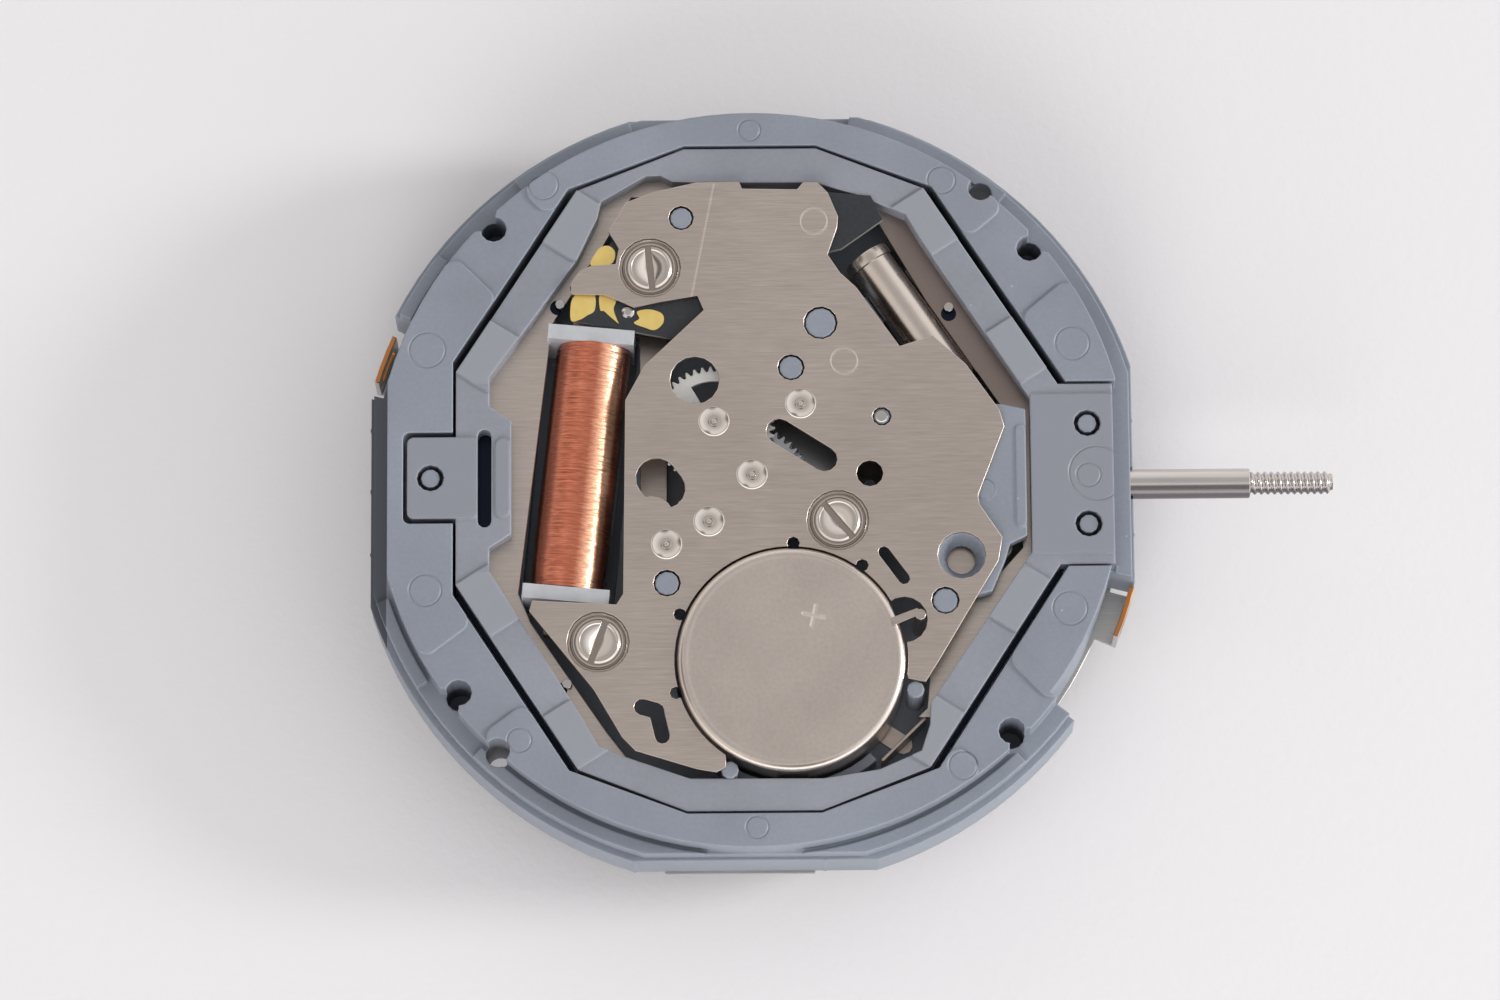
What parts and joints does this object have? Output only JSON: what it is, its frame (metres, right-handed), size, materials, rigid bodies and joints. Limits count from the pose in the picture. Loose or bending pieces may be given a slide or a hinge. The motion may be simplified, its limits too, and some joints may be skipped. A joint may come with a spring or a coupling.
{
  "type": "quartz_watch_movement",
  "caption": "Quartz watch movement in a grey plastic casing ring with brushed train bridge, copper coil, button cell and winding stem",
  "frame": {"origin": "hand axis at the dial seat", "axes": "Z toward the battery side, X out along the winding stem, Y toward twelve as pictured"},
  "size_m": [0.029, 0.023, 0.0055],
  "materials": {
    "casing_plastic": "satin moulded",
    "ring_plastic": "satin moulded",
    "clear_plastic": "translucent",
    "white_plastic": "moulded",
    "board_black": "matt laminate",
    "nickel": "brushed nickel plate",
    "plated_steel": "plated sheet",
    "polished_steel": "polished",
    "brass": "satin",
    "gold_pad": "gold plated",
    "copper_wire": "enamelled winding",
    "magnet": "sintered"
  },
  "bodies": {
    "movement": {"battery_can": "nickel", "battery_cap": "nickel", "battery_gasket": "clear_plastic", "bridge_screws": "polished_steel", "cell_clip": "plated_steel", "cell_spring": "brass", "circuit_board": "board_black", "circuit_pads": "gold_pad", "circuit_support": "casing_plastic", "coil_bobbin": "clear_plastic", "coil_core": "plated_steel", "coil_winding": "copper_wire", "crystal_cradle": "casing_plastic", "dial_frame": "casing_plastic", "holding_plate": "plated_steel", "ic_chip": "board_black", "keyless_cover": "casing_plastic", "main_plate": "casing_plastic", "module_ring": "casing_plastic", "module_sheet": "plated_steel", "quartz_crystal": "nickel", "retaining_ring": "ring_plastic", "sheet_rivets": "polished_steel", "stator": "plated_steel", "train_bridge": "nickel"},
    "fourth_arbor": {"fourth_wheel": "brass", "fourth_pinion": "polished_steel"},
    "fifth_arbor": {"fifth_wheel": "brass", "fifth_pinion": "polished_steel"},
    "rotor": {"rotor_magnet": "magnet", "rotor_pinion": "polished_steel"},
    "third_arbor": {"third_wheel": "white_plastic", "third_pinion": "polished_steel"},
    "centre": {"centre_wheel": "brass"},
    "cannon": {"cannon_pinion": "polished_steel"},
    "minute_arbor": {"minute_wheel": "brass", "minute_pinion": "polished_steel"},
    "hour": {"hour_wheel": "brass"},
    "setting": {"setting_wheel": "polished_steel"},
    "yoke_body": {"yoke": "plated_steel"},
    "clutch": {"clutch_wheel": "polished_steel"},
    "stem_body": {"stem": "polished_steel"},
    "lever_body": {"setting_lever": "plated_steel"}
  },
  "joints": [
    {"name": "fourth_turn", "type": "hinge", "parent": "movement", "child": "fourth_arbor", "pos_m": [0, 0, 0.0024], "axis": [0, 0, 1], "continuous": true},
    {"name": "fifth_turn", "type": "hinge", "parent": "movement", "child": "fifth_arbor", "pos_m": [-0.0013, -0.00144, 0.002], "axis": [0, 0, 1], "continuous": true},
    {"name": "rotor_turn", "type": "hinge", "parent": "movement", "child": "rotor", "pos_m": [-0.00257, -0.00213, 0.0019], "axis": [0, 0, 1], "continuous": true},
    {"name": "third_turn", "type": "hinge", "parent": "movement", "child": "third_arbor", "pos_m": [-0.00113, 0.00165, 0.0022], "axis": [0, 0, 1], "continuous": true},
    {"name": "centre_turn", "type": "hinge", "parent": "movement", "child": "centre", "pos_m": [0, 0, 0.0016], "axis": [0, 0, 1], "continuous": true},
    {"name": "minute_turn", "type": "hinge", "parent": "movement", "child": "minute_arbor", "pos_m": [0.00147, 0.00218, 0.0014], "axis": [0, 0, 1], "continuous": true},
    {"name": "cannon_turn", "type": "hinge", "parent": "movement", "child": "cannon", "pos_m": [0, 0, 0.001], "axis": [0, 0, 1], "continuous": true},
    {"name": "hour_turn", "type": "hinge", "parent": "movement", "child": "hour", "pos_m": [0, 0, 0.0003], "axis": [0, 0, 1], "continuous": true},
    {"name": "setting_turn", "type": "hinge", "parent": "movement", "child": "setting", "pos_m": [0.00355, -0.00002, 0.0014], "axis": [0, 0, 1], "continuous": true},
    {"name": "yoke_slide", "type": "slide", "parent": "movement", "child": "yoke_body", "axis": [-1, 0, 0], "range_m": [0, 0.00025]},
    {"name": "clutch_turn", "type": "hinge", "parent": "yoke_body", "child": "clutch", "pos_m": [0.0054, 0, 0.00165], "axis": [1, 0, 0], "continuous": true},
    {"name": "stem_pull", "type": "slide", "parent": "clutch", "child": "stem_body", "axis": [1, 0, 0], "range_m": [0, 0.00115]},
    {"name": "lever_swing", "type": "hinge", "parent": "movement", "child": "lever_body", "pos_m": [0.00735, -0.00205, 0.0023], "axis": [0, 0, -1], "range_deg": [0, 25.36]}
  ],
  "couplings": [
    {"joint": "fifth_turn", "follows": "fourth_turn", "ratio": -5},
    {"joint": "rotor_turn", "follows": "fourth_turn", "ratio": 30},
    {"joint": "third_turn", "follows": "fourth_turn", "ratio": -0.13333},
    {"joint": "centre_turn", "follows": "fourth_turn", "ratio": 0.016667},
    {"joint": "cannon_turn", "follows": "minute_turn", "ratio": -3},
    {"joint": "hour_turn", "follows": "minute_turn", "ratio": -0.25},
    {"joint": "setting_turn", "follows": "minute_turn", "ratio": -1.875},
    {"joint": "yoke_slide", "follows": "stem_pull", "ratio": 0.21739},
    {"joint": "lever_swing", "follows": "stem_pull", "rad_per_m": 384.89}
  ]
}
